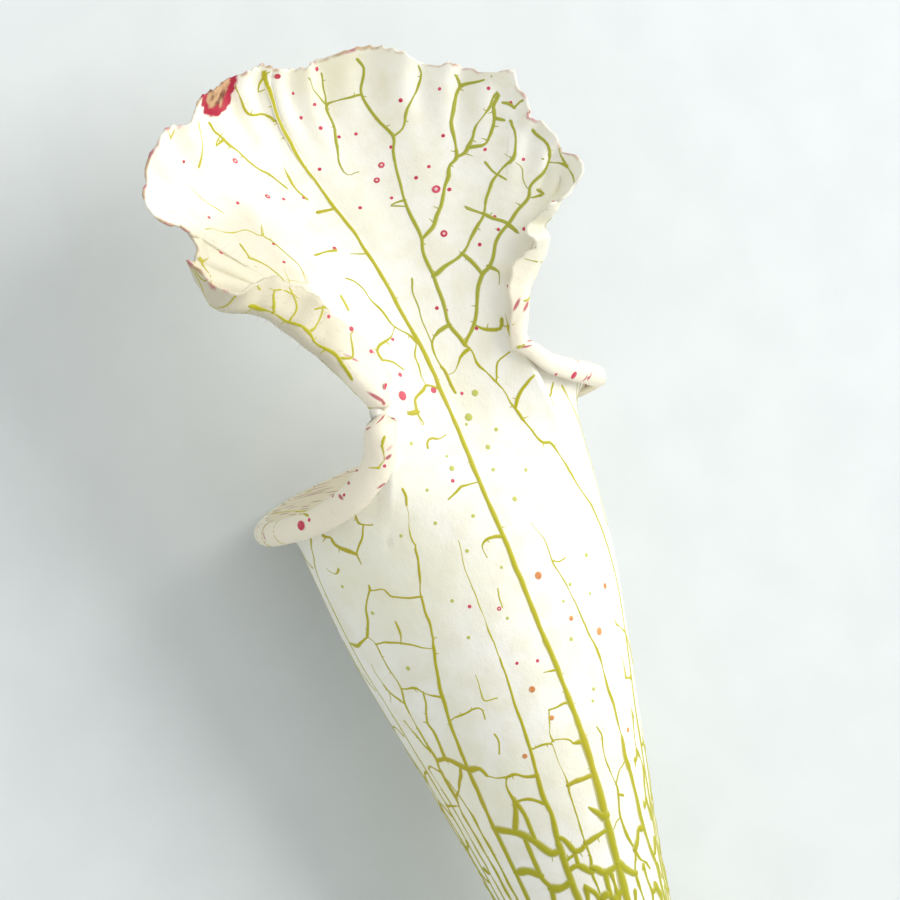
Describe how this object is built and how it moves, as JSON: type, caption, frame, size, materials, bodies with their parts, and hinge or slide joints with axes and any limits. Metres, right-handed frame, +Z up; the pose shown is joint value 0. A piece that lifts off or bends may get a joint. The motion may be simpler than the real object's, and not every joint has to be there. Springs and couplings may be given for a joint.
{
  "type": "white pitcher plant leaf",
  "caption": "A white pitcher plant leaf, cut and laid on its front: a tapering hollow tube with a rolled lip, a column and a ruffled hood with raised green veins.",
  "frame": {"origin": "on the surface that the leaf lies on, under the middle of its outline", "axes": "+Z up from the surface, towards the back of the leaf with its midrib; +X from the cut end towards the hood; +Y to the left of the leaf as its midrib is seen"},
  "size_m": [0.362, 0.06, 0.0498],
  "materials": {
    "leaf": "waxy white leaf tissue with a net of green veins, turning green towards its narrow base"
  },
  "bodies": {
    "root": {"pitcher_leaf": "leaf"}
  },
  "joints": []
}
